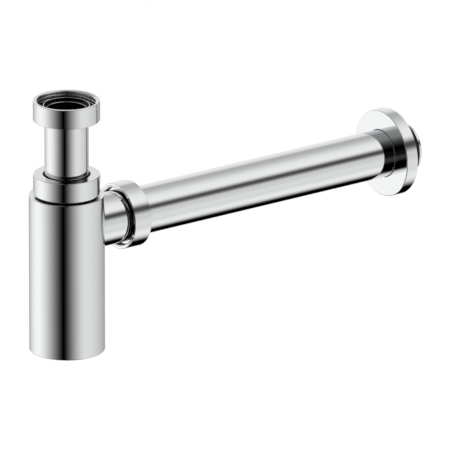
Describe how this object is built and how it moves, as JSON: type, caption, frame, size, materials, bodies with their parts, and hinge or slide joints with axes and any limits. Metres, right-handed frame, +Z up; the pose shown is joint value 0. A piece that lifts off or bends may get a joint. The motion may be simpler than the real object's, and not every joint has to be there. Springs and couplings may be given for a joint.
{
  "type": "bottle trap",
  "caption": "Chromed bottle trap (P trap) that joins a wash basin waste to a wall drain, with threaded nuts, sliding seals, a long wall tube and a wall flange.",
  "frame": {"origin": "centre of the coupling nut's mouth, where the basin waste screws in", "axes": "+Z up along the inlet tube and the bottle, +X along the wall tube towards the wall"},
  "size_m": [0.3077, 0.0588, 0.1739],
  "materials": {
    "polished_chrome": "polished",
    "turned_brass": "machined",
    "black_rubber": "matt",
    "black_nylon": "satin"
  },
  "bodies": {
    "inlet": {"inlet_tube": "polished_chrome", "coupling_gasket": "black_rubber"},
    "coupling_slip": {"coupling_slip_ring": "black_nylon"},
    "coupling_nut": {"coupling_nut": "polished_chrome"},
    "collar_seal": {"collar_seal": "black_rubber"},
    "bottle": {"bottle_shell": "polished_chrome", "bottle_base": "polished_chrome", "neck_bush": "turned_brass", "outlet_spigot": "polished_chrome", "outlet_thread_ring": "polished_chrome"},
    "collar_slip": {"collar_slip_washer": "black_nylon"},
    "collar_nut": {"collar_nut": "polished_chrome"},
    "outlet_slip": {"outlet_slip_washer": "black_nylon"},
    "outlet_nut": {"outlet_nut": "polished_chrome"},
    "outlet_seal": {"outlet_seal": "black_rubber"},
    "wall_tube": {"wall_tube": "polished_chrome"},
    "flange_grip": {"flange_grip_ring": "black_rubber"},
    "wall_flange": {"wall_flange": "polished_chrome"},
    "base_oring": {"base_oring": "black_rubber"},
    "base_plug": {"base_plug": "polished_chrome"}
  },
  "joints": [
    {"name": "coupling_nut_drop", "type": "slide", "parent": "inlet", "child": "coupling_slip", "axis": [0, 0, 1], "range_m": [-0.036, 0]},
    {"name": "coupling_nut_spin", "type": "hinge", "parent": "coupling_slip", "child": "coupling_nut", "pos_m": [0, 0, 0], "axis": [0, 0, 1], "continuous": true},
    {"name": "bottle_height", "type": "slide", "parent": "inlet", "child": "collar_seal", "axis": [0, 0, 1], "range_m": [-0.03, 0.007]},
    {"name": "bottle_swivel", "type": "hinge", "parent": "collar_seal", "child": "bottle", "pos_m": [0, 0, -0.06], "axis": [0, 0, 1], "continuous": true},
    {"name": "collar_nut_rise", "type": "slide", "parent": "bottle", "child": "collar_slip", "axis": [0, 0, 1], "range_m": [0, 0.0081]},
    {"name": "collar_nut_spin", "type": "hinge", "parent": "collar_slip", "child": "collar_nut", "pos_m": [0, 0, -0.058], "axis": [0, 0, 1], "range_deg": [0, 1260]},
    {"name": "outlet_nut_travel", "type": "slide", "parent": "bottle", "child": "outlet_slip", "axis": [1, 0, 0], "range_m": [0, 0.0081]},
    {"name": "outlet_nut_spin", "type": "hinge", "parent": "outlet_slip", "child": "outlet_nut", "pos_m": [0.047, 0, -0.0894], "axis": [1, 0, 0], "range_deg": [0, 1260]},
    {"name": "wall_tube_turn", "type": "hinge", "parent": "bottle", "child": "outlet_seal", "pos_m": [0.049, 0, -0.0894], "axis": [1, 0, 0], "continuous": true},
    {"name": "wall_tube_slide", "type": "slide", "parent": "outlet_seal", "child": "wall_tube", "axis": [1, 0, 0], "range_m": [-0.008, 0.012]},
    {"name": "flange_slide", "type": "slide", "parent": "wall_tube", "child": "flange_grip", "axis": [1, 0, 0], "range_m": [-0.18, 0.0025]},
    {"name": "flange_turn", "type": "hinge", "parent": "flange_grip", "child": "wall_flange", "pos_m": [0.2651, 0, -0.0894], "axis": [1, 0, 0], "continuous": true},
    {"name": "base_plug_drop", "type": "slide", "parent": "bottle", "child": "base_oring", "axis": [0, 0, -1], "range_m": [0, 0.0051]},
    {"name": "base_plug_spin", "type": "hinge", "parent": "base_oring", "child": "base_plug", "pos_m": [0, 0, -0.17], "axis": [0, 0, -1], "range_deg": [0, 1000]}
  ],
  "couplings": [
    {"joint": "collar_nut_rise", "follows": "collar_nut_spin", "m_per_rad": 0.00036749},
    {"joint": "outlet_nut_travel", "follows": "outlet_nut_spin", "m_per_rad": 0.00036749},
    {"joint": "base_plug_drop", "follows": "base_plug_spin", "m_per_rad": 0.00028871}
  ]
}
